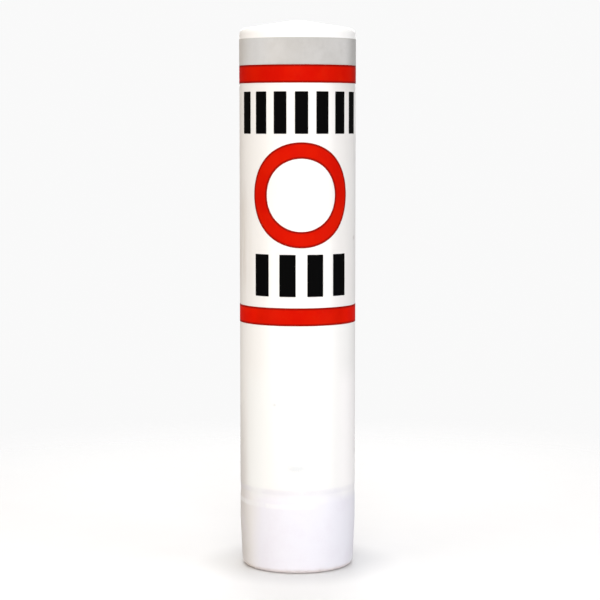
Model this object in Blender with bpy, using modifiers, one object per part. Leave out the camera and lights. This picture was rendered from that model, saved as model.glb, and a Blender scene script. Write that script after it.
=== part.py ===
"""Regulatory marker buoy: a moulded column hull, the films applied to it and the mooring eye under its foot.

Metres, +Z up. The origin is the middle of the foot's underside, and the sign faces -Y.
"""

import math

import bmesh
import bpy
from mathutils import Vector

# Hull
HULL_DIAMETER = 0.2286
HULL_HEIGHT = 1.0785
CROWN_SLOPE = math.radians(9.5)
CROWN_TIP_RADIUS = 0.150
SHOULDER_RADIUS = 0.012
TAPER_HEIGHT = 0.095
TAPER_DEPTH = 0.0043
FOOT_EDGE_RADIUS = 0.013

# Mould joint round the hull, a shallow rounded channel
JOINT_HEIGHT = 0.153
JOINT_WIDTH = 0.032
JOINT_DEPTH = 0.0008

# Recess under the foot
FOOT_RIM_WIDTH = 0.047
RECESS_DRAFT = math.radians(3.0)
RECESS_LIP_RADIUS = 0.005
RECESS_CORNER_RADIUS = 0.008

# Mooring eye, hung from the recess's ceiling
EYE_ROD_DIAMETER = 0.012
EYE_INNER_DIAMETER = 0.036
EYE_GROUND_CLEARANCE = 0.011
EYE_COLLAR_DIAMETER = 0.024
EYE_COLLAR_HEIGHT = 0.006
EYE_SINK = 0.003
NECK_DIAMETER = 0.0084
SHANK_DIAMETER = 0.012
SHANK_REACH = 0.055
WASHER_DIAMETER = 0.056
WASHER_THICKNESS = 0.004
STEEL_CHAMFER = 0.001

# Films applied to the wall
FILM_THICKNESS = 0.0004
TAPE_BELOW_TIP = 0.0367
TAPE_WIDTH = 0.0508
RED_BAND_WIDTH = 0.0349
SIGN_DIAMETER = 0.2032
SIGN_STROKE = 0.0315
UPPER_ROW_HEIGHT = 0.081
UPPER_ROW_REACH = 0.276
UPPER_BAR_COUNT = 7
UPPER_BAR_WIDTH = 0.0255
LOWER_ROW_HEIGHT = 0.0815
LOWER_ROW_REACH = 0.196
LOWER_BAR_COUNT = 4
LOWER_BAR_WIDTH = 0.032

# Bare wall between the films, from the top down
BAND_TO_UPPER_ROW = 0.0163
UPPER_ROW_TO_SIGN = 0.0160
SIGN_TO_LOWER_ROW = 0.0126
LOWER_ROW_TO_BAND = 0.0217

# Clearances
SEAT_GAP = 0.0003
BORE_GAP = 0.0003

# How finely round shapes are cut
HULL_STEPS = 72
STEEL_STEPS = 32
ROD_STEPS = 12
JOINT_STEPS = 8
FILM_STEP = 0.009
FILLET_STEP = math.radians(14.0)
SHARP_ANGLE = math.radians(30.0)

HULL_RADIUS = HULL_DIAMETER / 2
FILM_SEAT_RADIUS = HULL_RADIUS + SEAT_GAP
EYE_OUTER_DIAMETER = EYE_INNER_DIAMETER + 2 * EYE_ROD_DIAMETER
EYE_CENTRE_HEIGHT = EYE_GROUND_CLEARANCE + EYE_OUTER_DIAMETER / 2
COLLAR_BOTTOM = EYE_GROUND_CLEARANCE + EYE_OUTER_DIAMETER - EYE_SINK
COLLAR_TOP = COLLAR_BOTTOM + EYE_COLLAR_HEIGHT
WASHER_BOTTOM = COLLAR_TOP + SEAT_GAP
WASHER_TOP = WASHER_BOTTOM + WASHER_THICKNESS
RECESS_DEPTH = WASHER_TOP + SEAT_GAP
SHANK_TOP = COLLAR_TOP + SHANK_REACH


def clear_scene():
    for old in list(bpy.data.objects):
        bpy.data.objects.remove(old)


def new_collection(name):
    made = bpy.data.collections.new(name)
    bpy.context.scene.collection.children.link(made)
    return made


def paint(name, colour, roughness, metallic=0.0):
    made = bpy.data.materials.new(name)
    made.use_nodes = True
    shader = made.node_tree.nodes["Principled BSDF"]
    shader.inputs["Base Color"].default_value = (*colour, 1.0)
    shader.inputs["Roughness"].default_value = roughness
    shader.inputs["Metallic"].default_value = metallic
    made.diffuse_color = (*colour, 1.0)
    return made


def new_object(name, mesh, collection, material, parent):
    made = bpy.data.objects.new(name, mesh)
    collection.objects.link(made)
    mesh.materials.append(material)
    made.parent = parent
    return made


def arc(centre, radius, start, end):
    """Points in the turning plane from one angle to another, counted from the outward direction to +Z."""
    count = max(2, math.ceil(abs(end - start) / FILLET_STEP))
    angles = [start + (end - start) * i / count for i in range(count + 1)]
    return [(centre[0] + radius * math.cos(a), centre[1] + radius * math.sin(a)) for a in angles]


def tangent_radius(line_radius, lean, radius, height):
    """Axis distance of a fillet's centre at a height, when it touches a wall from inside.

    The wall passes line_radius at height zero and widens upwards by the angle lean."""
    return line_radius + height * math.tan(lean) - radius / math.cos(lean)


def crown_profile():
    """From the tip, over the cone, to the foot of the shoulder fillet."""
    up = math.pi / 2
    tip = arc((0.0, HULL_HEIGHT - CROWN_TIP_RADIUS), CROWN_TIP_RADIUS, up, up - CROWN_SLOPE)
    tip[0] = (0.0, HULL_HEIGHT)
    centre_radius = HULL_RADIUS - SHOULDER_RADIUS
    run = centre_radius + SHOULDER_RADIUS * math.sin(CROWN_SLOPE) - tip[-1][0]
    centre_height = tip[-1][1] - run * math.tan(CROWN_SLOPE) - SHOULDER_RADIUS * math.cos(CROWN_SLOPE)
    return tip + arc((centre_radius, centre_height), SHOULDER_RADIUS, up - CROWN_SLOPE, 0.0)


def joint_profile():
    """The channel at the mould joint, a smooth dip in the wall."""
    steps = [i / JOINT_STEPS for i in range(JOINT_STEPS + 1)]
    return [
        (
            HULL_RADIUS - JOINT_DEPTH * math.sin(math.pi * s) ** 2,
            JOINT_HEIGHT + JOINT_WIDTH * (0.5 - s),
        )
        for s in steps
    ]


def foot_profile():
    """From the start of the taper, round the foot's edge, to its flat underside."""
    lean = math.atan(TAPER_DEPTH / TAPER_HEIGHT)
    centre_radius = tangent_radius(HULL_RADIUS - TAPER_DEPTH, lean, FOOT_EDGE_RADIUS, FOOT_EDGE_RADIUS)
    edge = arc((centre_radius, FOOT_EDGE_RADIUS), FOOT_EDGE_RADIUS, -lean, -math.pi / 2)
    return [(HULL_RADIUS, TAPER_HEIGHT)] + edge[:-1] + [(centre_radius, 0.0)]


def recess_profile():
    """From the underside, over the recess's lip, up its wall and over its ceiling to the shank's bore."""
    mouth_radius = HULL_RADIUS - TAPER_DEPTH - FOOT_RIM_WIDTH
    lip_run = RECESS_LIP_RADIUS * (1 - math.sin(RECESS_DRAFT)) / math.cos(RECESS_DRAFT)
    lip_centre = (mouth_radius + lip_run, RECESS_LIP_RADIUS)
    corner_height = RECESS_DEPTH - RECESS_CORNER_RADIUS
    corner_centre = (
        tangent_radius(mouth_radius, -RECESS_DRAFT, RECESS_CORNER_RADIUS, corner_height),
        corner_height,
    )
    lip = arc(lip_centre, RECESS_LIP_RADIUS, -math.pi / 2, -math.pi + RECESS_DRAFT)
    corner = arc(corner_centre, RECESS_CORNER_RADIUS, RECESS_DRAFT, math.pi / 2)
    bore_radius = SHANK_DIAMETER / 2 + BORE_GAP
    bore_top = SHANK_TOP + SEAT_GAP
    return (
        [(lip_centre[0], 0.0)]
        + lip[1:]
        + corner[:-1]
        + [(corner_centre[0], RECESS_DEPTH), (bore_radius, RECESS_DEPTH), (bore_radius, bore_top), (0.0, bore_top)]
    )


def turn(name, profile, steps, collection, material, parent, closed=False):
    """A solid turned round Z from a profile that runs down its outer side."""
    mesh = bpy.data.meshes.new(name)
    bm = bmesh.new()
    corners = [bm.verts.new((radius, 0.0, height)) for radius, height in profile]
    for first, second in zip(corners, corners[1:]):
        bm.edges.new((first, second))
    if closed:
        bm.edges.new((corners[-1], corners[0]))
    bm.to_mesh(mesh)
    bm.free()
    made = new_object(name, mesh, collection, material, parent)
    screw = made.modifiers.new("Turn", "SCREW")
    screw.axis = "Z"
    screw.steps = steps
    screw.render_steps = steps
    screw.use_merge_vertices = True
    screw.merge_threshold = 0.00001
    screw.use_smooth_shade = True
    return made


def shade(obj):
    """Makes the modifiers' result the object's own mesh, smooth where it is round and sharp at its edges."""
    graph = bpy.context.evaluated_depsgraph_get()
    mesh = bpy.data.meshes.new_from_object(obj.evaluated_get(graph))
    mesh.name = obj.name
    obj.modifiers.clear()
    obj.data = mesh
    mesh.shade_smooth()
    mesh.set_sharp_from_angle(angle=SHARP_ANGLE)


def film(name, bm, height, collection, material, parent):
    """A film of even thickness whose inner side is the sheet in bm, already round the wall."""
    mesh = bpy.data.meshes.new(name)
    bm.to_mesh(mesh)
    bm.free()
    made = new_object(name, mesh, collection, material, parent)
    made.location.z = height
    solidify = made.modifiers.new("Thickness", "SOLIDIFY")
    solidify.thickness = FILM_THICKNESS
    solidify.offset = 1.0
    shade(made)
    return made


def wrap(bm):
    """Lays a sheet drawn on the XY plane round the wall, its middle at -Y and its Y axis upwards."""
    for vert in bm.verts:
        angle = vert.co.x / FILM_SEAT_RADIUS
        vert.co = Vector(
            (FILM_SEAT_RADIUS * math.sin(angle), -FILM_SEAT_RADIUS * math.cos(angle), vert.co.y)
        )


def band(name, width, bottom, collection, material, parent):
    """A film all the way round the wall."""
    bm = bmesh.new()
    bmesh.ops.create_cone(
        bm,
        cap_ends=False,
        segments=HULL_STEPS,
        radius1=FILM_SEAT_RADIUS,
        radius2=FILM_SEAT_RADIUS,
        depth=width,
    )
    return film(name, bm, bottom + width / 2, collection, material, parent)


def sign_ring(name, centre_height, collection, material, parent):
    """A flat ring, grown outwards in narrow rows so that it bends evenly, then laid round the wall."""
    bm = bmesh.new()
    outer = SIGN_DIAMETER / 2
    inner = outer - SIGN_STROKE
    rows = math.ceil(SIGN_STROKE / FILM_STEP)
    count = 4 * math.ceil(math.pi * outer / (2 * FILM_STEP))
    rim = bmesh.ops.create_circle(bm, segments=count, radius=inner)["verts"]
    edges = list({edge for vert in rim for edge in vert.link_edges})
    for row in range(rows):
        grown = bmesh.ops.extrude_edge_only(bm, edges=edges)["geom"]
        edges = [item for item in grown if isinstance(item, bmesh.types.BMEdge)]
        verts = [item for item in grown if isinstance(item, bmesh.types.BMVert)]
        present = inner + SIGN_STROKE * row / rows
        ratio = (present + SIGN_STROKE / rows) / present
        bmesh.ops.scale(bm, vec=(ratio, ratio, 1.0), verts=verts)
    bm.normal_update()
    down = [face for face in bm.faces if face.normal.z < 0]
    bmesh.ops.reverse_faces(bm, faces=down)
    wrap(bm)
    return film(name, bm, centre_height, collection, material, parent)


def bar_row(prefix, count, reach, width, height, bottom, collection, material, parent):
    """Upright bars, evenly spaced over the reach and each laid round the wall."""
    pitch = (reach - width) / (count - 1)
    for place in range(count):
        bm = bmesh.new()
        bmesh.ops.create_grid(bm, x_segments=math.ceil(width / FILM_STEP), y_segments=1, size=0.5)
        bmesh.ops.scale(bm, vec=(width, height, 1.0), verts=bm.verts)
        wrap(bm)
        name = f"{prefix}_{place + 1}"
        made = film(name, bm, bottom + height / 2, collection, material, parent)
        made.rotation_euler.z = (place - (count - 1) / 2) * pitch / FILM_SEAT_RADIUS


def mooring_washer(collection, material, parent):
    outer = WASHER_DIAMETER / 2
    bore = SHANK_DIAMETER / 2 + BORE_GAP
    profile = [
        (outer - STEEL_CHAMFER, WASHER_TOP),
        (outer, WASHER_TOP - STEEL_CHAMFER),
        (outer, WASHER_BOTTOM + STEEL_CHAMFER),
        (outer - STEEL_CHAMFER, WASHER_BOTTOM),
        (bore, WASHER_BOTTOM),
        (bore, WASHER_TOP),
    ]
    made = turn("mooring_washer", profile, STEEL_STEPS, collection, material, parent, closed=True)
    shade(made)


def mooring_eye(collection, helpers, material, parent):
    """A forged ring joined to a turned collar and shank."""
    rod = EYE_ROD_DIAMETER / 2
    bpy.ops.mesh.primitive_torus_add(
        major_segments=STEEL_STEPS,
        minor_segments=ROD_STEPS,
        major_radius=EYE_INNER_DIAMETER / 2 + rod,
        minor_radius=rod,
        location=(0.0, 0.0, EYE_CENTRE_HEIGHT),
        rotation=(math.pi / 2, 0.0, 0.0),
    )
    made = bpy.context.active_object
    made.name = "mooring_eye"
    for home in list(made.users_collection):
        home.objects.unlink(made)
    collection.objects.link(made)
    made.data.materials.append(material)
    made.parent = parent

    shank = SHANK_DIAMETER / 2
    collar = EYE_COLLAR_DIAMETER / 2
    neck = NECK_DIAMETER / 2
    neck_bottom = EYE_GROUND_CLEARANCE + EYE_OUTER_DIAMETER - rod
    profile = [
        (0.0, SHANK_TOP),
        (shank - STEEL_CHAMFER, SHANK_TOP),
        (shank, SHANK_TOP - STEEL_CHAMFER),
        (shank, COLLAR_TOP),
        (collar - STEEL_CHAMFER, COLLAR_TOP),
        (collar, COLLAR_TOP - STEEL_CHAMFER),
        (collar, COLLAR_BOTTOM + STEEL_CHAMFER),
        (collar - STEEL_CHAMFER, COLLAR_BOTTOM),
        (neck, neck_bottom),
        (0.0, neck_bottom),
    ]
    stem = turn("eye_stem", profile, STEEL_STEPS, helpers, material, parent)
    stem.hide_render = True
    stem.display_type = "WIRE"
    union = made.modifiers.new("Stem", "BOOLEAN")
    union.operation = "UNION"
    union.solver = "EXACT"
    union.object = stem
    shade(made)


def build():
    clear_scene()
    parts = new_collection("regulatory_buoy")
    helpers = new_collection("helpers")
    frame = bpy.data.objects.new("buoy_frame", None)
    parts.objects.link(frame)

    white = paint("white_polyethylene", (0.86, 0.85, 0.83), 0.38)
    silver = paint("silver_reflective_film", (0.58, 0.57, 0.55), 0.42)
    red = paint("red_film", (0.72, 0.018, 0.006), 0.35)
    black = paint("black_film", (0.006, 0.006, 0.006), 0.35)
    steel = paint("galvanised_steel", (0.50, 0.51, 0.52), 0.45, 1.0)

    profile = crown_profile() + joint_profile() + foot_profile() + recess_profile()
    hull = turn("hull", profile, HULL_STEPS, parts, white, frame)
    shade(hull)

    tape_bottom = HULL_HEIGHT - TAPE_BELOW_TIP - TAPE_WIDTH
    band("reflective_tape", TAPE_WIDTH, tape_bottom, parts, silver, frame)
    upper_band_bottom = tape_bottom - SEAT_GAP - RED_BAND_WIDTH
    band("upper_red_band", RED_BAND_WIDTH, upper_band_bottom, parts, red, frame)
    upper_row_bottom = upper_band_bottom - BAND_TO_UPPER_ROW - UPPER_ROW_HEIGHT
    bar_row("upper_legend_bar", UPPER_BAR_COUNT, UPPER_ROW_REACH, UPPER_BAR_WIDTH, UPPER_ROW_HEIGHT,
            upper_row_bottom, parts, black, frame)
    sign_centre = upper_row_bottom - UPPER_ROW_TO_SIGN - SIGN_DIAMETER / 2
    sign_ring("area_ring", sign_centre, parts, red, frame)
    lower_row_bottom = sign_centre - SIGN_DIAMETER / 2 - SIGN_TO_LOWER_ROW - LOWER_ROW_HEIGHT
    bar_row("lower_legend_bar", LOWER_BAR_COUNT, LOWER_ROW_REACH, LOWER_BAR_WIDTH, LOWER_ROW_HEIGHT,
            lower_row_bottom, parts, black, frame)
    lower_band_bottom = lower_row_bottom - LOWER_ROW_TO_BAND - RED_BAND_WIDTH
    band("lower_red_band", RED_BAND_WIDTH, lower_band_bottom, parts, red, frame)

    mooring_washer(parts, steel, frame)
    mooring_eye(parts, helpers, steel, frame)


build()
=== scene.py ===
"""Regulatory marker buoy on a plain pale floor, in soft studio light.

Metres, +Z up. The origin is the middle of the foot's underside, and the sign faces -Y.
"""
import math

import bmesh
import bpy
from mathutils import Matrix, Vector


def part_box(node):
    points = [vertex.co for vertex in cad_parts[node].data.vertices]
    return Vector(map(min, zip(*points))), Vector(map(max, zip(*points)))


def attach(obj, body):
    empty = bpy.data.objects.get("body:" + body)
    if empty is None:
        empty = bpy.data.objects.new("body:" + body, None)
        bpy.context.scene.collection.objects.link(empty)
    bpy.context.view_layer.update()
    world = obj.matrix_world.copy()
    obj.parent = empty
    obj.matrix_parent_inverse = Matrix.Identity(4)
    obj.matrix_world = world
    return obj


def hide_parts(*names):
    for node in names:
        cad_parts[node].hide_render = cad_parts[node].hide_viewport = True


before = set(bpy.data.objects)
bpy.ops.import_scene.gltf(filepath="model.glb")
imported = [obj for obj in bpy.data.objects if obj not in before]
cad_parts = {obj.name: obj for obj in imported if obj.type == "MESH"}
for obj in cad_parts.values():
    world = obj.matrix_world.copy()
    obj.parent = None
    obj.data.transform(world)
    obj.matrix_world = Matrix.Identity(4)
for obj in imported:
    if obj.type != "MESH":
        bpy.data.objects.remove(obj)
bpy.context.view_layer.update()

TURN = 2.0 * math.pi
UP = math.pi / 2

# Hull, to the same sizes as its solid
HULL_RADIUS = 0.1143
HULL_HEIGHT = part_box("hull")[1].z
CROWN_SLOPE = math.radians(9.5)
CROWN_TIP_RADIUS = 0.150
SHOULDER_RADIUS = 0.012
TAPER_HEIGHT = 0.095
TAPER_DEPTH = 0.0043
FOOT_EDGE_RADIUS = 0.013
JOINT_HEIGHT = 0.153
JOINT_WIDTH = 0.032
JOINT_DEPTH = 0.0008
RECESS_MOUTH_RADIUS = 0.063
RECESS_DRAFT = math.radians(3.0)
RECESS_LIP_RADIUS = 0.005
RECESS_CORNER_RADIUS = 0.008

# Mooring eye and its washer
EYE_ROD_RADIUS = 0.006
EYE_INNER_RADIUS = 0.018
EYE_CLEARANCE = 0.011
COLLAR_RADIUS = 0.012
COLLAR_HEIGHT = 0.006
NECK_RADIUS = 0.0042
SHANK_RADIUS = 0.006
BORE_RADIUS = 0.0063
SEAT_GAP = 0.0003
STEEL_EDGE = 0.0008
FORGING_GRAIN = 0.0007
FORGING_SOFTNESS = 0.5
FORGING_PASSES = 6

# Films, seated close on the wall
FILM_SEAT = HULL_RADIUS + 0.00005
FILM_THICKNESS = 0.0003
SIGN_STROKE = 0.0315
UPPER_REACH, UPPER_COUNT, UPPER_WIDTH = 0.276, 7, 0.0255
LOWER_REACH, LOWER_COUNT, LOWER_WIDTH = 0.196, 4, 0.032
BAR_CORNER = 0.0012
LAP_SEGMENTS = 3
LAP_LIFT = FILM_THICKNESS + 0.00003

# How finely the shapes are cut
HULL_STEPS = 192
STEEL_STEPS = 64
EYE_ROD_STEPS = 24
ARC_STEP = math.radians(3.5)
JOINT_STEPS = 28
FILM_STEP = 0.0024
BAND_ROWS = 4
BAR_CORNER_STEPS = 5
SHARP_ANGLE = math.radians(30.0)
WELD = 0.000001

# Tones of the hull
WALL_WHITE = (0.868, 0.866, 0.856)
CROWN_WHITE = (0.925, 0.924, 0.918)
# The foot's tones: cooler than the wall, and darker as painted shade
FOOT_WARM_SHADED = (0.790, 0.772, 0.760)
FOOT_COOL_SHADED = (0.790, 0.785, 0.850)
FOOT_PATCH = (0.745, 0.715, 0.79)
LEFT_SHADE = (0.58, 0.55, 0.53)
# Painted light on the lower wall's flanks
LIT_LEFT_WALL = (0.876, 0.905, 0.908)
LIT_RIGHT_WALL = (0.945, 0.928, 0.930)
JOINT_SHADE = (0.69, 0.675, 0.765)
JOINT_LIGHT = (0.858, 0.866, 0.885)
LEGEND_DUST = (0.80, 0.782, 0.766)
LEFT_GRIME = (0.52, 0.44, 0.36)
EDGE_GRIME = (0.30, 0.26, 0.24)
RIM_DIRT_AND_SHADE = (0.66, 0.59, 0.55)
FOOT_SCUFF = (0.50, 0.45, 0.42)
BAND_DIRT = (0.62, 0.60, 0.57)
DRIP = (0.70, 0.67, 0.63)

# Small marks on the hull: degrees round, height, half width, half height, strength, tone
KNOCK = (70.0, 0.6555, 0.0085, 0.0070, 0.30, (0.34, 0.27, 0.26))
FLECK = (-27.1, 0.3338, 0.0042, 0.0042, 0.40, (0.50, 0.54, 0.58))
SMUDGE = (-5.1, 0.2095, 0.027, 0.0095, 0.33, (0.50, 0.56, 0.62))

# Where the broader marks lie: degrees round the wall, then metres
LEFT_EDGE_ANGLE = -84.0
LEFT_GRIME_ANGLE = -78.0
LIT_LEFT_ANGLE = -50.0
LIT_RIGHT_ANGLE = 62.0
EDGE_LINE_ANGLE = 70.0
BAND_DIRT_ANGLE = 72.0
JOINT_SHADE_RISE = 0.009
JOINT_LIGHT_DROP = 0.0185
UPPER_RUN_HEIGHT = 0.822
LOWER_RUN_HEIGHT = 0.648
DUST_RIGHT = 0.080
PRINT_EDGE = 0.001

# Where they start and where they are full: heights, or metres to the right of the axis
WALL_FADE = (JOINT_HEIGHT - 0.020, JOINT_HEIGHT + 0.024)
COOL_FOOT_FADE = (-0.106, -0.074)
LEFT_EDGE_FADE = (0.40, 0.16)
LIT_WALL_FADE = (0.42, 0.36)
JOINT_LIGHT_FADE = (0.045, 0.012)
LEFT_GRIME_BOTTOM = (0.52, 0.60)
LEFT_GRIME_TOP = (0.80, 0.70)
RIM_FADE = (0.0105, 0.0050)
SCUFF_FADE = (0.018, 0.004)
DRIP_FADE = (0.0, 0.9)
BAND_FLANK_FADE = (0.076, 0.092)
BAND_END_FADE = (0.096, 0.112)

# The same as metres above or below the lower edge of the upper band
CROWN_START, CROWN_FULL = 0.084, 0.088
BAND_DIRT_START, BAND_DIRT_FULL = 0.030, 0.004

# Tones of the films and the steel
SILVER_DULL, SILVER_CLEAR = (0.545, 0.535, 0.521), (0.583, 0.576, 0.567)
SILVER_PATCH = (0.49, 0.481, 0.471)
SILVER_EDGE = (0.40, 0.37, 0.33)
SILVER_LIT_LEFT = (0.602, 0.616, 0.632)
RED_DEEP, RED_CLEAR = (0.572, 0.0045, 0.0003), (0.618, 0.0085, 0.0005)
RED_RUB = (0.56, 0.016, 0.003)
RED_EDGE = (0.25, 0.005, 0.002)
BLACK_DENSE, BLACK_RUB = (0.0016, 0.0016, 0.0017), (0.0050, 0.0048, 0.0046)
ZINC_DARK, ZINC_LIGHT = (0.40, 0.41, 0.42), (0.60, 0.61, 0.62)
ZINC_SEAM = (0.34, 0.35, 0.36)
ZINC_BLOOM = (0.66, 0.66, 0.65)
SILVER_LIT_ANGLE = -50.0
SILVER_FRONT_ANGLE = 10.0
SILVER_SIDE_ANGLE = 84.0
SILVER_EDGE_WIDTH = 0.0020
RED_EDGE_WIDTH = 0.0054
BEADS_PER_METRE = 1500.0
SPANGLES_PER_METRE = 190.0

# Camera, where the photograph was taken from
CAMERA_DISTANCE = 3.74
CAMERA_HEIGHT = 0.883
CAMERA_AZIMUTH = math.radians(-3.8)
CAMERA_PITCH = math.radians(5.4077)
CAMERA_AIM = math.radians(0.0727)
CAMERA_LENS = 113.45
CAMERA_SENSOR = 36.0

# Studio
BACKDROP = (0.950, 0.950, 0.950)
ROOM_LEFT = (0.432, 0.387, 0.345)
ROOM_RIGHT = (0.438, 0.430, 0.430)
ROOM_TURN = (-0.7, 0.5)
FLOOR_SEEN = (0.895, 0.902, 0.910)
FLOOR_BOUNCE = (0.50, 0.50, 0.515)
FLOOR_GLOW = (0.88, 0.84, 0.81)
FLOOR_GLOW_REACH = 0.135
FLOOR_SHADE = 0.15
FLOOR_SHADE_REACH = 0.22
FLOOR_RADIUS = 2.6
FLOOR_STEPS = 96
FLOOR_GAP = 0.0002
FLOOR_FADE_START = 0.75
FLOOR_FADE_END = 1.9
PLAIN_LIGHT = (1.0, 1.0, 1.0)
WARM_LIGHT = (1.0, 0.94, 0.84)

# Softboxes: name, place, aim, size, power, tint
SOFTBOXES = (
    ("front_softbox", (-0.12, -3.3, 1.55), (0.0, 0.0, 0.56), (1.9, 2.2), 55.0, PLAIN_LIGHT),
    ("back_softbox", (0.4, 3.4, 1.9), (0.0, 0.0, 0.56), (2.2, 2.0), 68.0, PLAIN_LIGHT),
    ("top_softbox", (-0.3, -0.3, 3.7), (0.0, 0.0, 0.0), (2.6, 2.6), 50.0, PLAIN_LIGHT),
    ("low_left_softbox", (-1.99, -1.67, 0.35), (0.0, 0.0, 0.15), (1.0, 0.6), 20.0, WARM_LIGHT),
    ("low_right_softbox", (1.99, -1.67, 0.35), (0.0, 0.0, 0.15), (1.0, 0.6), 20.0, PLAIN_LIGHT),
)


# Materials


class Value:
    """A socket's value. Arithmetic on it adds the Math nodes that work it out."""

    def __init__(self, finish, socket):
        self.finish = finish
        self.socket = socket

    def __add__(self, other):
        return self.finish.maths("ADD", self, other)

    def __sub__(self, other):
        return self.finish.maths("SUBTRACT", self, other)

    def __rsub__(self, other):
        return self.finish.maths("SUBTRACT", other, self)

    def __mul__(self, other):
        return self.finish.maths("MULTIPLY", self, other)

    def __truediv__(self, other):
        return self.finish.maths("DIVIDE", self, other)

    def __pow__(self, other):
        return self.finish.maths("POWER", self, other)

    def __abs__(self):
        return self.finish.maths("ABSOLUTE", self)

    __radd__ = __add__
    __rmul__ = __mul__


class Finish:
    """A node tree that is being built, for a material or for the room."""

    def __init__(self, owner):
        owner.use_nodes = True
        self.owner = owner
        self.tree = owner.node_tree
        self.tree.nodes.clear()

    def node(self, kind, settings=None, inputs=None, output=0):
        """A new node's output, after its settings and then its sockets' values or links."""
        made = self.tree.nodes.new(kind)
        for name, setting in (settings or {}).items():
            setattr(made, name, setting)
        for name, value in (inputs or {}).items():
            if isinstance(value, Value):
                self.tree.links.new(value.socket, made.inputs[name])
            else:
                made.inputs[name].default_value = value
        return Value(self, made.outputs[output]) if made.outputs else None

    def maths(self, operation, *values):
        return self.node("ShaderNodeMath", {"operation": operation}, dict(enumerate(values)))

    def place(self):
        """Where on the object, in metres."""
        return self.node("ShaderNodeTexCoord", output="Object")

    def axes(self):
        """The three numbers of the place."""
        split = self.node("ShaderNodeSeparateXYZ", inputs={0: self.place()})
        return [Value(self, socket) for socket in split.socket.node.outputs]

    def wall(self):
        """Arc length round the wall from the sign's middle, to the right, and height."""
        x, y, height = self.axes()
        return self.maths("ARCTAN2", x, y * -1.0) * HULL_RADIUS, height

    def step(self, value, start, end):
        """Eases from 0 at start to 1 at end."""
        inputs = {"Value": value, "From Min": start, "From Max": end}
        return self.node("ShaderNodeMapRange", {"interpolation_type": "SMOOTHSTEP"}, inputs)

    def near(self, value, middle, reach, core):
        """1 as close to the middle as the core, easing to 0 at the reach."""
        return self.step(abs(value - middle), reach, core)

    def around(self, across, angle, reach, core):
        """The same round the wall, all in degrees from the sign's middle."""
        return self.near(across, degrees_round(angle), degrees_round(reach), degrees_round(core))

    def noise(self, scale, detail=2.0, roughness=0.5, stretch=(1.0, 1.0, 1.0), shift=(0.0, 0.0, 0.0)):
        inputs = {"Vector": self.place(), "Location": shift, "Scale": stretch}
        place = self.node("ShaderNodeMapping", inputs=inputs)
        inputs = {"Vector": place, "Scale": scale, "Detail": detail, "Roughness": roughness}
        return self.node("ShaderNodeTexNoise", inputs=inputs)

    def cells(self, scale, feature="F1", output="Distance"):
        inputs = {"Vector": self.place(), "Scale": scale}
        return self.node("ShaderNodeTexVoronoi", {"feature": feature}, inputs, output)

    def mix(self, factor, first, second):
        settings = {"data_type": "RGBA", "blend_type": "MIX"}
        return self.node("ShaderNodeMix", settings, {0: factor, 6: rgba(first), 7: rgba(second)}, 2)

    def coat(self, under, tone, mask, strength):
        """Lays a tone over a colour where the mask is, as strongly as is said."""
        return self.mix(mask * strength, under, tone)

    def tone(self, colour, value):
        return self.node("ShaderNodeVectorMath", {"operation": "SCALE"}, {0: colour, "Scale": value})

    def bump(self, height):
        """A normal from a height in metres."""
        return self.node("ShaderNodeBump", inputs={"Strength": 1.0, "Distance": 1.0, "Height": height})

    def surface(self, inputs):
        shader = self.node("ShaderNodeBsdfPrincipled", inputs=inputs)
        self.node("ShaderNodeOutputMaterial", inputs={"Surface": shader})
        return self.owner


def rgba(colour):
    return colour if isinstance(colour, Value) else (*colour, 1.0)


def degrees_round(angle):
    """Arc length round the wall, from degrees to the right of the sign's middle."""
    return math.radians(angle) * HULL_RADIUS


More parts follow.
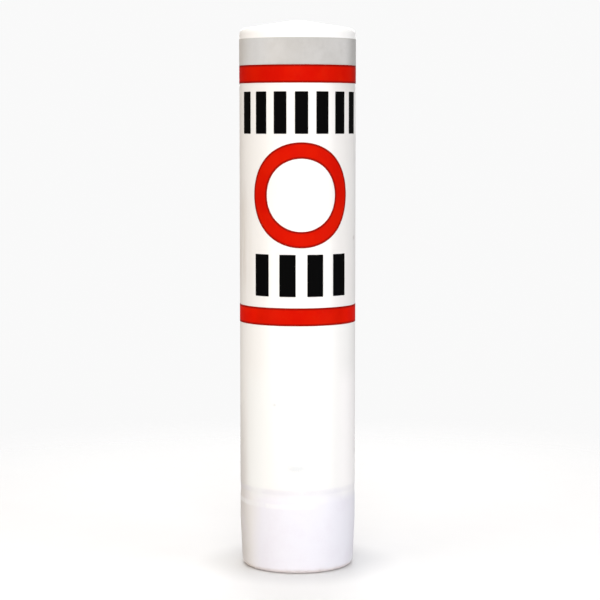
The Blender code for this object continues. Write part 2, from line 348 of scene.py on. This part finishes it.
class HullFinish(Finish):
    """The hull's colour, laid on coat by coat, with the coordinates and noises that its marks share."""

    def __init__(self, owner, legend_bottom, legend_top):
        super().__init__(owner)
        self.legend_top = legend_top
        self.sideways = self.axes()[0]
        self.across, self.height = self.wall()
        self.broad = self.noise(scale=5.5, detail=3.0, roughness=0.55)
        self.cloudy = self.noise(scale=24.0, detail=4.0, roughness=0.6, shift=(3.1, 0.0, 1.7))
        upright, aside = (1.0, 1.0, 0.07), (0.0, 5.0, 0.0)
        self.streaks = self.noise(scale=60.0, detail=3.0, roughness=0.6, stretch=upright, shift=aside)
        self.specks = self.noise(scale=230.0, detail=2.0, roughness=0.6)
        self.waver = (self.broad - 0.5) * 0.02
        self.wander = (self.cloudy - 0.5) * 0.004
        self.above_joint = self.step(self.height + self.waver, *WALL_FADE)
        under_top = self.step(self.height, legend_top, legend_top - PRINT_EDGE)
        self.in_legend = self.step(self.height, legend_bottom - PRINT_EDGE, legend_bottom) * under_top

    def base_colour(self):
        """White wall over a cooler foot, which stays warm on its left; the foot's tones are darker than
        the wall's as painted shade.
        """
        foot = self.mix(self.step(self.sideways + self.waver, *COOL_FOOT_FADE), FOOT_WARM_SHADED, FOOT_COOL_SHADED)
        return self.mix(self.above_joint, foot, WALL_WHITE)

    def flanks(self, colour):
        """Painted shade darkens the left edge low down, and painted light brightens the lower wall on both
        flanks.
        """
        left_edge = self.around(self.across, LEFT_EDGE_ANGLE, reach=32.0, core=8.0)
        low_down = self.step(self.height, *LEFT_EDGE_FADE)
        colour = self.coat(colour, LEFT_SHADE, left_edge * low_down, 0.57)
        # Painted light on both flanks of the lower wall
        lit_low = self.step(self.height, *LIT_WALL_FADE) * self.above_joint
        left = self.around(self.across, LIT_LEFT_ANGLE, reach=20.0, core=6.0)
        colour = self.coat(colour, LIT_LEFT_WALL, left * lit_low, 0.55)
        right = self.around(self.across, LIT_RIGHT_ANGLE, reach=28.0, core=10.0)
        return self.coat(colour, LIT_RIGHT_WALL, right * lit_low, 0.80)

    def joint(self, colour):
        """Patches on the foot, a broken shade above the joint and a broken light line below it."""
        patches = self.step(self.cloudy, 0.42, 0.72) * (1.0 - self.above_joint)
        colour = self.coat(colour, FOOT_PATCH, patches, 0.35)
        shade = self.near(self.height, JOINT_HEIGHT + JOINT_SHADE_RISE, reach=0.0080, core=0.0020)
        broken = 0.35 + 0.65 * self.step(self.cloudy, 0.36, 0.58)
        colour = self.coat(colour, JOINT_SHADE, shade * broken, 0.30)
        middle = JOINT_HEIGHT - JOINT_LIGHT_DROP
        light = self.near(self.height + self.wander, middle, reach=0.0075, core=0.0020)
        broken = self.step(self.sideways, *JOINT_LIGHT_FADE) * self.step(self.streaks, 0.25, 0.55)
        return self.coat(colour, JOINT_LIGHT, light * broken, 0.60)

    def crown(self, colour):
        """The crown above the tape, in a lighter white than the wall."""
        above_tape = self.step(self.height, self.legend_top + CROWN_START, self.legend_top + CROWN_FULL)
        return self.mix(above_tape, colour, CROWN_WHITE)

    def legend_field(self, colour):
        """Dust on the white between the bands, thicker on the right."""
        right = self.near(self.sideways, DUST_RIGHT, reach=0.030, core=0.010) * 0.45
        return self.coat(colour, LEGEND_DUST, self.in_legend, 0.22 + 0.35 * self.broad + right)

    def grime(self, colour):
        """Streaks on the left flank, and a faint broken line down the right edge."""
        left = self.around(self.across, LEFT_GRIME_ANGLE, reach=26.0, core=6.0)
        left_rows = self.step(self.height, *LEFT_GRIME_BOTTOM) * self.step(self.height, *LEFT_GRIME_TOP)
        left_streaks = self.step(self.streaks, 0.35, 0.65)
        colour = self.coat(colour, LEFT_GRIME, left * left_rows * left_streaks, 0.30)

        middle = degrees_round(EDGE_LINE_ANGLE)
        line = self.near(self.across + self.wander, middle, reach=0.0042, core=0.0012)
        upper_run = self.near(self.height, UPPER_RUN_HEIGHT, reach=0.045, core=0.010)
        lower_run = self.near(self.height, LOWER_RUN_HEIGHT, reach=0.040, core=0.012)
        strength = self.maths("MAXIMUM", upper_run, lower_run) * 0.22 + self.in_legend * 0.05
        return self.coat(colour, EDGE_GRIME, line * self.step(self.streaks, 0.22, 0.60), strength)

    def spot(self, colour, angle, height, half_width, half_height, strength, tone):
        """A small soft-edged mark, its rim broken up by specks."""
        across = (self.across - degrees_round(angle)) / half_width
        along = (self.height - height) / half_height
        reach = (across ** 2.0 + along ** 2.0) ** 0.5
        mask = self.step(reach + (self.specks - 0.5) * 0.9, 1.0, 0.25)
        return self.coat(colour, tone, mask, strength)

    def foot_dirt_and_shade(self, colour):
        """A line of dirt and painted shade round the foot's edge, and scuffs that run up from it."""
        rim = self.step(self.height, *RIM_FADE)
        # Dirt and painted contact shade along the bottom rim
        colour = self.coat(colour, RIM_DIRT_AND_SHADE, rim, 0.22 + 0.36 * self.cloudy)
        scuffs = self.step(self.height, *SCUFF_FADE) * self.step(self.streaks, 0.40, 0.70)
        return self.coat(colour, FOOT_SCUFF, scuffs, 0.20)

    def washed_down(self, colour):
        """Dirt under the right end of the upper band, and faint drips that fade towards the foot."""
        top = self.legend_top
        close_under = self.step(self.height, top - BAND_DIRT_START, top - BAND_DIRT_FULL)
        under_band = close_under * self.step(self.height, top, top - PRINT_EDGE)
        right = self.around(self.across, BAND_DIRT_ANGLE, reach=52.0, core=12.0)
        colour = self.coat(colour, BAND_DIRT, under_band * right, 0.42)
        drips = self.step(self.streaks, 0.50, 0.78) * self.step(self.height, *DRIP_FADE)
        return self.coat(colour, DRIP, drips, 0.10)


def white_polyethylene(legend_bottom, legend_top):
    """Satin moulded polyethylene: chalky above the joint line, cooler and duller on the foot, and darkened
    there with painted shade.
    """
    made = HullFinish(bpy.data.materials.new("white_polyethylene"), legend_bottom, legend_top)
    colour = made.flanks(made.base_colour())
    colour = made.crown(made.joint(colour))
    colour = made.grime(made.legend_field(colour))
    for mark in (KNOCK, FLECK, SMUDGE):
        colour = made.spot(colour, *mark)
    colour = made.washed_down(made.foot_dirt_and_shade(colour))
    colour = made.tone(colour, 0.985 + 0.022 * made.broad + (made.specks - 0.5) * 0.018)

    roughness = 0.40 + (made.cloudy - 0.5) * 0.14 + (made.specks - 0.5) * 0.05
    peel = made.noise(scale=420.0)
    ripple = made.noise(scale=11.0, detail=1.0, roughness=0.4, stretch=(1.0, 1.0, 0.45))
    relief = peel * 0.000030 + ripple * 0.00045 + made.specks * 0.000020
    return made.surface(
        {
            "Base Color": colour,
            "Roughness": roughness + (1.0 - made.above_joint) * 0.06,
            "Specular IOR Level": 0.42,
            "Normal": made.bump(relief),
        }
    )


def film_edge(made, gap_to_edge, line_width):
    """1 on the film's cut edge, fading out over the line's width."""
    return made.step(gap_to_edge, line_width, line_width * 0.35)


def gap_within(height, bottom, top):
    """How far a height is inside the nearer edge of a band."""
    return (top - bottom) / 2 - abs(height - (bottom + top) / 2)


def silver_reflective_film(bottom, top):
    """Beaded retroreflective tape: grey, faintly cloudy, with a fine bead grain, painted light on its
    left, and painted shade at the front and on its right side.
    """
    made = Finish(bpy.data.materials.new("silver_reflective_film"))
    across, height = made.wall()
    cloudy = made.noise(scale=20.0, detail=3.0, roughness=0.55)
    patches = made.noise(scale=52.0, detail=3.0, roughness=0.6, shift=(1.0, 2.0, 4.0))
    upright = made.noise(scale=46.0, stretch=(1.0, 1.0, 0.12), shift=(7.0, 0.0, 0.0))
    beads = made.cells(BEADS_PER_METRE)

    colour = made.mix(made.step(cloudy, 0.30, 0.70), SILVER_DULL, SILVER_CLEAR)
    colour = made.coat(colour, SILVER_PATCH, made.step(patches, 0.45, 0.70), 0.30)
    edge = film_edge(made, gap_within(height, bottom, top), SILVER_EDGE_WIDTH)
    colour = made.coat(colour, SILVER_EDGE, edge, 0.30)
    # Painted light on the tape's left
    left = made.around(across, SILVER_LIT_ANGLE, reach=26.0, core=4.0)
    colour = made.coat(colour, SILVER_LIT_LEFT, left, 0.55)
    # Painted shade at the tape's front and on its right side
    front_shade = made.around(across, SILVER_FRONT_ANGLE, reach=42.0, core=8.0) * 0.10
    side_shade = made.around(across, SILVER_SIDE_ANGLE, reach=38.0, core=16.0) * 0.25
    evenness_and_shade = 0.985 + 0.05 * upright - front_shade - side_shade
    colour = made.tone(colour, evenness_and_shade + (beads - 0.45) * 0.10)
    relief = beads * 0.000040 + cloudy * 0.00022 + patches * 0.00005
    return made.surface(
        {
            "Base Color": colour,
            "Roughness": 0.56 + (patches - 0.5) * 0.16,
            "Metallic": 0.0,
            "Diffuse Roughness": 0.15,
            "Specular IOR Level": 0.08,
            "Normal": made.bump(relief),
        }
    )


def red_finish(made, gap_to_edge, shade=0.0):
    """Opaque red film: even colour, a darker line along its cut edges, faint handling marks."""
    broad = made.noise(scale=17.0, detail=3.0, roughness=0.55)
    fine = made.noise(scale=90.0, detail=3.0, roughness=0.6, shift=(2.0, 0.0, 0.0))
    upright = made.noise(scale=70.0, stretch=(1.0, 1.0, 0.10), shift=(0.0, 4.0, 0.0))
    colour = made.mix(made.step(broad, 0.32, 0.68), RED_DEEP, RED_CLEAR)
    colour = made.coat(colour, RED_RUB, made.step(fine, 0.52, 0.74), 0.22)
    colour = made.coat(colour, RED_EDGE, film_edge(made, gap_to_edge, RED_EDGE_WIDTH), 0.92)
    # The tone also takes the painted light and shade that a band passes in
    colour = made.tone(colour, 0.975 + 0.05 * upright + shade)
    relief = broad * 0.00020 + fine * 0.00003
    return made.surface(
        {
            "Base Color": colour,
            "Roughness": 0.46 + (fine - 0.5) * 0.14,
            "Specular IOR Level": 0.012,
            "Normal": made.bump(relief),
        }
    )


def red_band_film(name, bottom, top, lit_flanks=0.0, shaded_right=0.0):
    """A red band, with painted light on both flanks or painted shade at its right end."""
    made = Finish(bpy.data.materials.new(name))
    sideways, _, height = made.axes()
    # Painted light on both flanks, and painted shade at the right end
    flanks = made.step(abs(sideways), *BAND_FLANK_FADE) * lit_flanks
    right_end = made.step(sideways, *BAND_END_FADE) * shaded_right
    return red_finish(made, gap_within(height, bottom, top), flanks - right_end)


def red_ring_film(name, centre_height, outer):
    made = Finish(bpy.data.materials.new(name))
    across, height = made.wall()
    out = (across ** 2.0 + (height - centre_height) ** 2.0) ** 0.5
    return red_finish(made, gap_within(out, outer - SIGN_STROKE, outer))


def black_film():
    """Opaque black film, dense and nearly even, with faint rubs."""
    made = Finish(bpy.data.materials.new("black_film"))
    rubs = made.noise(scale=80.0, detail=4.0, roughness=0.65, stretch=(1.0, 1.0, 0.35))
    broad = made.noise(scale=14.0)
    colour = made.mix(made.step(rubs, 0.58, 0.82) * 0.5, BLACK_DENSE, BLACK_RUB)
    relief = broad * 0.00020 + rubs * 0.00002
    return made.surface(
        {
            "Base Color": colour,
            "Roughness": 0.56 + (rubs - 0.5) * 0.18,
            "Specular IOR Level": 0.015,
            "Normal": made.bump(relief),
        }
    )


def galvanised_steel():
    """Hot-dip zinc: dull spangles, pale bloom in patches, small runs and pits."""
    made = Finish(bpy.data.materials.new("galvanised_steel"))
    spangles = made.cells(SPANGLES_PER_METRE, output="Color")
    crystal = made.node("ShaderNodeSeparateXYZ", inputs={0: spangles})
    seams = made.cells(SPANGLES_PER_METRE, "DISTANCE_TO_EDGE")
    bloom = made.noise(scale=60.0, detail=4.0, roughness=0.65)
    pits = made.noise(scale=600.0, detail=2.0, roughness=0.6)
    colour = made.mix(crystal, ZINC_DARK, ZINC_LIGHT)
    colour = made.coat(colour, ZINC_SEAM, made.step(seams, 0.05, 0.0), 0.35)
    white_bloom = made.step(bloom, 0.52, 0.72)
    colour = made.coat(colour, ZINC_BLOOM, white_bloom, 0.55)
    relief = crystal * 0.00003 + bloom * 0.00025 + pits * 0.00003
    return made.surface(
        {
            "Base Color": colour,
            "Roughness": 0.38 + 0.16 * crystal + white_bloom * 0.22,
            "Metallic": 1.0 - white_bloom * 0.55,
            "Normal": made.bump(relief),
        }
    )


# Shapes


def arc(centre, radius, start, end):
    """Points in the turning plane from one angle to another, counted from the outward direction to +Z."""
    count = max(2, math.ceil(abs(end - start) / ARC_STEP))
    angles = [start + (end - start) * i / count for i in range(count + 1)]
    return [(centre[0] + radius * math.cos(a), centre[1] + radius * math.sin(a)) for a in angles]


def tangent_radius(line_radius, lean, radius, height):
    """Axis distance of a fillet's centre at a height, when it touches a leaning wall from inside."""
    return line_radius + height * math.tan(lean) - radius / math.cos(lean)


def crown_profile():
    """The rounded tip, the slope and the shoulder."""
    tip = arc((0.0, HULL_HEIGHT - CROWN_TIP_RADIUS), CROWN_TIP_RADIUS, UP, UP - CROWN_SLOPE)
    tip[0] = (0.0, HULL_HEIGHT)
    shoulder_radius = HULL_RADIUS - SHOULDER_RADIUS
    run = shoulder_radius + SHOULDER_RADIUS * math.sin(CROWN_SLOPE) - tip[-1][0]
    shoulder_height = tip[-1][1] - run * math.tan(CROWN_SLOPE) - SHOULDER_RADIUS * math.cos(CROWN_SLOPE)
    return tip + arc((shoulder_radius, shoulder_height), SHOULDER_RADIUS, UP - CROWN_SLOPE, 0.0)


def joint_profile():
    """The shallow channel at the mould joint."""
    points = []
    for i in range(JOINT_STEPS + 1):
        part = i / JOINT_STEPS
        dip = JOINT_DEPTH * math.sin(math.pi * part) ** 2
        points.append((HULL_RADIUS - dip, JOINT_HEIGHT + JOINT_WIDTH * (0.5 - part)))
    return points


def foot_profile():
    """The top of the taper, and the foot's rounded edge."""
    lean = math.atan(TAPER_DEPTH / TAPER_HEIGHT)
    edge_radius = tangent_radius(HULL_RADIUS - TAPER_DEPTH, lean, FOOT_EDGE_RADIUS, FOOT_EDGE_RADIUS)
    edge = arc((edge_radius, FOOT_EDGE_RADIUS), FOOT_EDGE_RADIUS, -lean, -UP)
    return [(HULL_RADIUS, TAPER_HEIGHT)] + edge


def recess_profile(ceiling, bore_top):
    """The recess under the foot, from its rounded lip to the end of the bore."""
    lip_run = RECESS_LIP_RADIUS * (1 - math.sin(RECESS_DRAFT)) / math.cos(RECESS_DRAFT)
    lip_centre = (RECESS_MOUTH_RADIUS + lip_run, RECESS_LIP_RADIUS)
    lip = arc(lip_centre, RECESS_LIP_RADIUS, -UP, -math.pi + RECESS_DRAFT)
    corner_height = ceiling - RECESS_CORNER_RADIUS
    corner_radius = tangent_radius(RECESS_MOUTH_RADIUS, -RECESS_DRAFT, RECESS_CORNER_RADIUS, corner_height)
    corner = arc((corner_radius, corner_height), RECESS_CORNER_RADIUS, RECESS_DRAFT, UP)
    return lip + corner + [(BORE_RADIUS, ceiling), (BORE_RADIUS, bore_top), (0.0, bore_top)]


def put(name, bm, material, slot, *nodes):
    """A piece of the buoy from a bmesh that is already in its place."""
    mesh = bpy.data.meshes.new(name)
    bm.to_mesh(mesh)
    bm.free()
    mesh.materials.append(material)
    mesh.shade_smooth()
    mesh.set_sharp_from_angle(angle=SHARP_ANGLE)
    piece = bpy.data.objects.new(name, mesh)
    bpy.context.scene.collection.objects.link(piece)
    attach(piece, "root")
    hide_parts(*nodes)
    return piece


def edges_of(verts):
    """The edges at some corners, each once, in a steady order."""
    return list(dict.fromkeys(edge for vert in verts for edge in vert.link_edges))


def sweep(bm, geom, axis, steps):
    """Sweeps edges a full turn round an axis through the origin."""
    bmesh.ops.spin(
        bm,
        geom=geom,
        cent=(0.0, 0.0, 0.0),
        axis=axis,
        dvec=(0.0, 0.0, 0.0),
        angle=TURN,
        steps=steps,
        use_merge=True,
        use_normal_flip=False,
        use_duplicate=False,
    )


def lathe(bm, profile, steps, closed=False):
    """Turns a profile of (radius, height) round Z into a closed shell."""
    corners = [bm.verts.new((radius, 0.0, height)) for radius, height in profile]
    edges = [bm.edges.new(pair) for pair in zip(corners, corners[1:])]
    if closed:
        edges.append(bm.edges.new((corners[-1], corners[0])))
    sweep(bm, corners + edges, (0.0, 0.0, 1.0), steps)
    close_up(bm)


def close_up(bm):
    bmesh.ops.remove_doubles(bm, verts=bm.verts, dist=WELD)
    bmesh.ops.dissolve_degenerate(bm, edges=bm.edges, dist=WELD)
    bmesh.ops.recalc_face_normals(bm, faces=bm.faces)


def wrap(bm, height, turn=0.0, lift=None):
    """Lays a flat sheet round the wall, its middle at the sign's side turned by an angle."""
    for vert in bm.verts:
        angle = vert.co.x / FILM_SEAT + turn
        radius = FILM_SEAT + (lift(vert.co.x) if lift else 0.0)
        vert.co = Vector((radius * math.sin(angle), -radius * math.cos(angle), vert.co.y + height))


def thicken(bm):
    """Gives a wrapped sheet its thickness, away from the axis."""
    bm.normal_update()
    for face in bm.faces:
        middle = face.calc_center_median()
        if face.normal.dot(Vector((middle.x, middle.y, 0.0))) < 0:
            face.normal_flip()
    grown = bmesh.ops.extrude_face_region(bm, geom=list(bm.faces), use_keep_orig=True)["geom"]
    for vert in [item for item in grown if isinstance(item, bmesh.types.BMVert)]:
        out = Vector((vert.co.x, vert.co.y, 0.0))
        vert.co += out.normalized() * FILM_THICKNESS
    close_up(bm)


def lapped_band(name, node, material, slot):
    """A film all the way round the wall, its end lapped over its start at the back."""
    low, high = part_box(node)
    girth = TURN * FILM_SEAT
    step = girth / HULL_STEPS
    segments = HULL_STEPS + LAP_SEGMENTS
    lap_start = girth / 2 - step / 2
    bm = bmesh.new()
    bmesh.ops.create_grid(bm, x_segments=segments, y_segments=BAND_ROWS, size=0.5)
    bmesh.ops.scale(bm, vec=(segments * step, high.z - low.z, 1.0), verts=bm.verts)
    bmesh.ops.translate(bm, vec=((LAP_SEGMENTS * step) / 2, 0.0, 0.0), verts=bm.verts)
    wrap(bm, (low.z + high.z) / 2, 0.0, lambda run: LAP_LIFT if run > lap_start else 0.0)
    thicken(bm)
    return put(name, bm, material, slot, node)


def ring_decal(name, node, material, slot):
    """The ring, grown outwards in narrow rows so that it bends evenly, then laid round the wall."""
    low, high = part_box(node)
    outer = (high.z - low.z) / 2
    inner = outer - SIGN_STROKE
    rows = math.ceil(SIGN_STROKE / FILM_STEP)
    row_width = SIGN_STROKE / rows
    count = 4 * math.ceil(math.pi * outer / (2 * FILM_STEP))
    bm = bmesh.new()
    rim = bmesh.ops.create_circle(bm, segments=count, radius=inner)["verts"]
    edges = edges_of(rim)
    for row in range(rows):
        grown = bmesh.ops.extrude_edge_only(bm, edges=edges)["geom"]
        edges = [item for item in grown if isinstance(item, bmesh.types.BMEdge)]
        verts = [item for item in grown if isinstance(item, bmesh.types.BMVert)]
        present = inner + row_width * row
        ratio = (present + row_width) / present
        bmesh.ops.scale(bm, vec=(ratio, ratio, 1.0), verts=verts)
    wrap(bm, (low.z + high.z) / 2)
    thicken(bm)
    return put(name, bm, material, slot, node)


def legend_bars(name, node, reach, count, width, material):
    """A row of upright bars, each with softly cut corners and laid round the wall."""
    pitch = (reach - width) / (count - 1)
    for place in range(count):
        low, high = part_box(f"{node}_{place + 1}")
        bm = bmesh.new()
        bmesh.ops.create_grid(bm, x_segments=math.ceil(width / FILM_STEP), y_segments=1, size=0.5)
        bmesh.ops.scale(bm, vec=(width, high.z - low.z, 1.0), verts=bm.verts)
        corners = [vert for vert in bm.verts if abs(vert.co.x) > width / 2 - WELD]
        bmesh.ops.bevel(
            bm,
            geom=corners,
            offset=BAR_CORNER,
            affect="VERTICES",
            segments=BAR_CORNER_STEPS,
            profile=0.5,
            material=-1,
        )
        turn = (place - (count - 1) / 2) * pitch / FILM_SEAT
        wrap(bm, (low.z + high.z) / 2, turn)
        thicken(bm)
        put(f"{name}_{place + 1}", bm, material, "black_film", f"{node}_{place + 1}")


def steel_washer(material):
    """Turned plate with broken edges, seated under the ceiling of the recess."""
    low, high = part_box("mooring_washer")
    edge_radius = high.x - STEEL_EDGE
    upper_edge = arc((edge_radius, high.z - STEEL_EDGE), STEEL_EDGE, UP, 0.0)
    lower_edge = arc((edge_radius, low.z + STEEL_EDGE), STEEL_EDGE, 0.0, -UP)
    bore = [(BORE_RADIUS, low.z), (BORE_RADIUS, high.z)]
    bm = bmesh.new()
    lathe(bm, upper_edge + lower_edge + bore, STEEL_STEPS, closed=True)
    return put("washer_plate", bm, material, "galvanised_steel", "mooring_washer")


def stem_profile(collar_top, neck_bottom, top):
    """The eye's shank, the collar that bears on the washer, and the neck that enters the ring."""
    edge_radius = COLLAR_RADIUS - STEEL_EDGE
    collar_bottom = collar_top - COLLAR_HEIGHT
    shank = [(0.0, top), (SHANK_RADIUS - STEEL_EDGE, top), (SHANK_RADIUS, top - STEEL_EDGE)]
    shank.append((SHANK_RADIUS, collar_top))
    collar = arc((edge_radius, collar_top - STEEL_EDGE), STEEL_EDGE, UP, 0.0)
    collar += arc((edge_radius, collar_bottom + STEEL_EDGE), STEEL_EDGE, 0.0, -UP)
    return shank + collar + [(NECK_RADIUS, neck_bottom), (0.0, neck_bottom)]


def steel_eye(material, collar_top):
    """Forged ring and turned stem, melted together with a soft root where they meet."""
    ring_middle = EYE_INNER_RADIUS + EYE_ROD_RADIUS
    centre_height = EYE_CLEARANCE + ring_middle + EYE_ROD_RADIUS
    bm = bmesh.new()
    rod = bmesh.ops.create_circle(bm, segments=EYE_ROD_STEPS, radius=EYE_ROD_RADIUS)["verts"]
    bmesh.ops.translate(bm, vec=(ring_middle, 0.0, 0.0), verts=rod)
    sweep(bm, rod + edges_of(rod), (0.0, 1.0, 0.0), STEEL_STEPS)
    bmesh.ops.translate(bm, vec=(0.0, 0.0, centre_height), verts=bm.verts)
    close_up(bm)

    stem_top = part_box("mooring_eye")[1].z
    turned = bmesh.new()
    lathe(turned, stem_profile(collar_top, centre_height + ring_middle, stem_top), STEEL_STEPS)
    stem = bpy.data.meshes.new("stem")
    turned.to_mesh(stem)
    turned.free()
    bm.from_mesh(stem)
    bpy.data.meshes.remove(stem)
    piece = put("forged_eye", bm, material, "galvanised_steel", "mooring_eye")
    melt_together(piece)
    return piece


def melt_together(piece):
    """Replaces overlapping shells by one fine skin, softened where they meet."""
    forging = piece.modifiers.new("Forging", "REMESH")
    forging.mode = "VOXEL"
    forging.voxel_size = FORGING_GRAIN
    forging.use_smooth_shade = True
    soften = piece.modifiers.new("Soften", "SMOOTH")
    soften.factor = FORGING_SOFTNESS
    soften.iterations = FORGING_PASSES
    graph = bpy.context.evaluated_depsgraph_get()
    melted = bpy.data.meshes.new_from_object(piece.evaluated_get(graph))
    piece.modifiers.clear()
    piece.data = melted
    melted.name = piece.name


# Studio


def floor_finish():
    """Matt and pale, softly shaded round the foot, and clear far out so that the backdrop takes over."""
    made = Finish(bpy.data.materials.new("pale_floor"))
    x, y, _ = made.axes()
    out = (x ** 2.0 + y ** 2.0) ** 0.5
    grain = made.noise(scale=9.0, detail=3.0)
    seen = made.node("ShaderNodeLightPath", output="Is Camera Ray")
    bounce = made.mix(made.step(out, FLOOR_GLOW_REACH, HULL_RADIUS), FLOOR_BOUNCE, FLOOR_GLOW)
    colour = made.mix(seen, bounce, FLOOR_SEEN)
    shade = made.step(out, FLOOR_SHADE_REACH, HULL_RADIUS) * FLOOR_SHADE
    colour = made.tone(colour, 0.99 + 0.02 * grain - shade)
    matt = made.node("ShaderNodeBsdfDiffuse", inputs={"Color": colour})
    clear = made.node("ShaderNodeBsdfTransparent")
    fade = made.step(out, FLOOR_FADE_START, FLOOR_FADE_END)
    mixed = made.node("ShaderNodeMixShader", inputs={0: fade, 1: matt, 2: clear})
    made.node("ShaderNodeOutputMaterial", inputs={"Surface": mixed})
    return made.owner


def studio_floor():
    """Pale floor that fades into the backdrop away from the buoy."""
    bm = bmesh.new()
    bmesh.ops.create_circle(bm, cap_ends=True, segments=FLOOR_STEPS, radius=FLOOR_RADIUS)
    bmesh.ops.translate(bm, vec=(0.0, 0.0, -FLOOR_GAP), verts=bm.verts)
    mesh = bpy.data.meshes.new("floor")
    bm.to_mesh(mesh)
    bm.free()
    mesh.materials.append(floor_finish())
    floor = bpy.data.objects.new("floor", mesh)
    bpy.context.scene.collection.objects.link(floor)


def studio_room():
    """Even light from all round, a little warmer from the left, before a plain pale backdrop."""
    room = Finish(bpy.data.worlds.new("room"))
    bpy.context.scene.world = room.owner
    direction = room.node("ShaderNodeTexCoord", output="Generated")
    side = room.node("ShaderNodeSeparateXYZ", inputs={0: direction})
    light = room.mix(room.step(side, *ROOM_TURN), ROOM_LEFT, ROOM_RIGHT)
    seen = room.node("ShaderNodeLightPath", output="Is Camera Ray")
    colour = room.mix(seen, light, BACKDROP)
    glow = room.node("ShaderNodeBackground", inputs={"Color": colour, "Strength": 1.0})
    room.node("ShaderNodeOutputWorld", inputs={"Surface": glow})


def softbox(name, place, aim, size, power, tint):
    light = bpy.data.lights.new(name, "AREA")
    light.color = tint
    light.shape = "RECTANGLE"
    light.size, light.size_y = size
    light.energy = power
    box = bpy.data.objects.new(name, light)
    bpy.context.scene.collection.objects.link(box)
    box.location = place
    box.rotation_euler = (Vector(aim) - Vector(place)).to_track_quat("-Z", "Y").to_euler()


def studio_camera():
    camera = bpy.data.cameras.new("camera")
    camera.lens = CAMERA_LENS
    camera.sensor_width = CAMERA_SENSOR
    stand = bpy.data.objects.new("camera", camera)
    bpy.context.scene.collection.objects.link(stand)
    sideways = CAMERA_DISTANCE * math.sin(CAMERA_AZIMUTH)
    stand.location = (sideways, -CAMERA_DISTANCE * math.cos(CAMERA_AZIMUTH), CAMERA_HEIGHT)
    stand.rotation_euler = (UP - CAMERA_PITCH, 0.0, CAMERA_AZIMUTH - CAMERA_AIM)
    bpy.context.scene.camera = stand


# The buoy in its studio

washer_low, washer_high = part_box("mooring_washer")
tape_low, tape_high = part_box("reflective_tape")
upper_low, upper_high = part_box("upper_red_band")
lower_low, lower_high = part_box("lower_red_band")
ring_low, ring_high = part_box("area_ring")
ring_height = (ring_low.z + ring_high.z) / 2
ring_outer = (ring_high.z - ring_low.z) / 2

white = white_polyethylene(lower_high.z, upper_low.z)
silver = silver_reflective_film(tape_low.z, tape_high.z)
upper_red = red_band_film("red_film_upper", upper_low.z, upper_high.z, shaded_right=0.30)
lower_red = red_band_film("red_film_lower", lower_low.z, lower_high.z, lit_flanks=0.16)
ring_red = red_ring_film("red_film_ring", ring_height, ring_outer)
black = black_film()
steel = galvanised_steel()

shell = bmesh.new()
recess = recess_profile(washer_high.z + SEAT_GAP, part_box("mooring_eye")[1].z + SEAT_GAP)
lathe(shell, crown_profile() + joint_profile() + foot_profile() + recess, HULL_STEPS)
put("hull_shell", shell, white, "white_polyethylene", "hull")
lapped_band("tape_wrap", "reflective_tape", silver, "silver_reflective_film")
lapped_band("upper_band_wrap", "upper_red_band", upper_red, "red_film")
lapped_band("lower_band_wrap", "lower_red_band", lower_red, "red_film")
ring_decal("ring_decal", "area_ring", ring_red, "red_film")
legend_bars("upper_bar", "upper_legend_bar", UPPER_REACH, UPPER_COUNT, UPPER_WIDTH, black)
legend_bars("lower_bar", "lower_legend_bar", LOWER_REACH, LOWER_COUNT, LOWER_WIDTH, black)
steel_washer(steel)
steel_eye(steel, washer_low.z - SEAT_GAP)

studio_floor()
studio_room()
for box in SOFTBOXES:
    softbox(*box)
studio_camera()
bpy.context.scene.view_settings.view_transform = "Standard"
